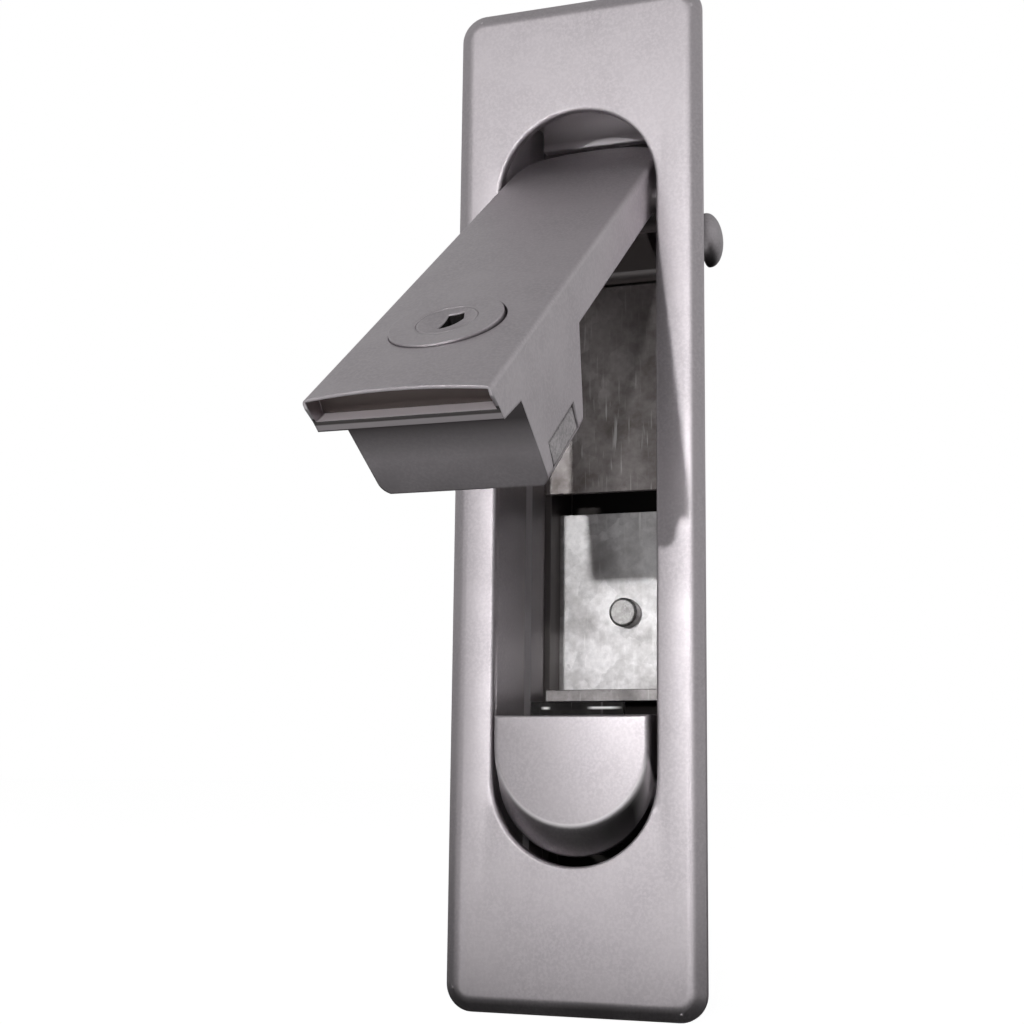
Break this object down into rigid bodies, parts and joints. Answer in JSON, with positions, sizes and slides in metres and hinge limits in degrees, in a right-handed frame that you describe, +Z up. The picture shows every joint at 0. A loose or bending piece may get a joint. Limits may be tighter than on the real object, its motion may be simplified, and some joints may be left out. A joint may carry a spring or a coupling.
{
  "type": "rack cabinet lock",
  "caption": "Flush push-to-open lock for a cabinet door: a hinged handle with a key lock springs out of a long faceplate and drives a sliding latch; a rocking button releases it.",
  "frame": {"origin": "centre of the faceplate on the outside face of the door, midway between the two fixing holes", "axes": "+X to the right and +Z up as the closed door is seen from outside, +Y through the door into the cabinet"},
  "size_m": [0.04, 0.0921, 0.155],
  "materials": {
    "cast_zinc": "satin pearl nickel plating on a blasted zinc casting",
    "galvanised_sheet": "galvanised sheet, scratched where it slides",
    "plated_steel": "zinc plated",
    "spring_steel": "dark oiled spring wire",
    "lock_metal": "satin plated",
    "polished_steel": "polished, domed"
  },
  "bodies": {
    "housing": {"face_housing": "cast_zinc", "rear_frame": "galvanised_sheet", "frame_screw_1": "plated_steel", "frame_screw_2": "plated_steel", "frame_screw_3": "plated_steel", "frame_screw_4": "plated_steel", "hinge_pin": "plated_steel", "hinge_clip": "spring_steel", "guide_rivet": "plated_steel", "spring_bracket": "galvanised_sheet", "bracket_rivet": "plated_steel", "button_pin": "plated_steel"},
    "handle": {"handle": "cast_zinc", "handle_spring": "spring_steel", "lock_barrel": "cast_zinc", "block_cover": "galvanised_sheet"},
    "plug": {"lock_plug": "lock_metal", "lock_cam": "plated_steel", "cam_screw": "plated_steel"},
    "bolt": {"side_bolt": "lock_metal"},
    "slider": {"slider_plate": "galvanised_sheet", "latch_stud": "polished_steel"},
    "button": {"push_button": "cast_zinc", "catch_plate": "galvanised_sheet", "catch_rivet_l": "plated_steel", "catch_rivet_r": "plated_steel", "button_spring": "spring_steel"}
  },
  "joints": [
    {"name": "handle_swing", "type": "hinge", "parent": "housing", "child": "handle", "pos_m": [0, 0.0041, 0.04555], "axis": [1, 0, 0], "range_deg": [0, 51.4], "stiffness_Nm_per_rad": 0.06, "springref_deg": -114.59, "deforming": ["handle_spring"]},
    {"name": "slider_travel", "type": "slide", "parent": "housing", "child": "slider", "axis": [0, 0, 1], "range_m": [0, 0.01301]},
    {"name": "button_rock", "type": "hinge", "parent": "housing", "child": "button", "pos_m": [0, 0.009, -0.038], "axis": [1, 0, 0], "range_deg": [-4, 5], "stiffness_Nm_per_rad": 0.3, "deforming": ["button_spring"]},
    {"name": "plug_turn", "type": "hinge", "parent": "handle", "child": "plug", "pos_m": [0, -0.04681, 0.01259], "axis": [0, 0.6239, -0.7815], "range_deg": [0, 90]},
    {"name": "bolt_throw", "type": "slide", "parent": "handle", "child": "bolt", "axis": [1, 0, 0], "range_m": [0, 0.0036]}
  ],
  "couplings": [
    {"joint": "slider_travel", "follows": "handle_swing", "m_per_rad": 0.014502},
    {"joint": "plug_turn", "follows": "bolt_throw", "rad_per_m": 436.33}
  ]
}
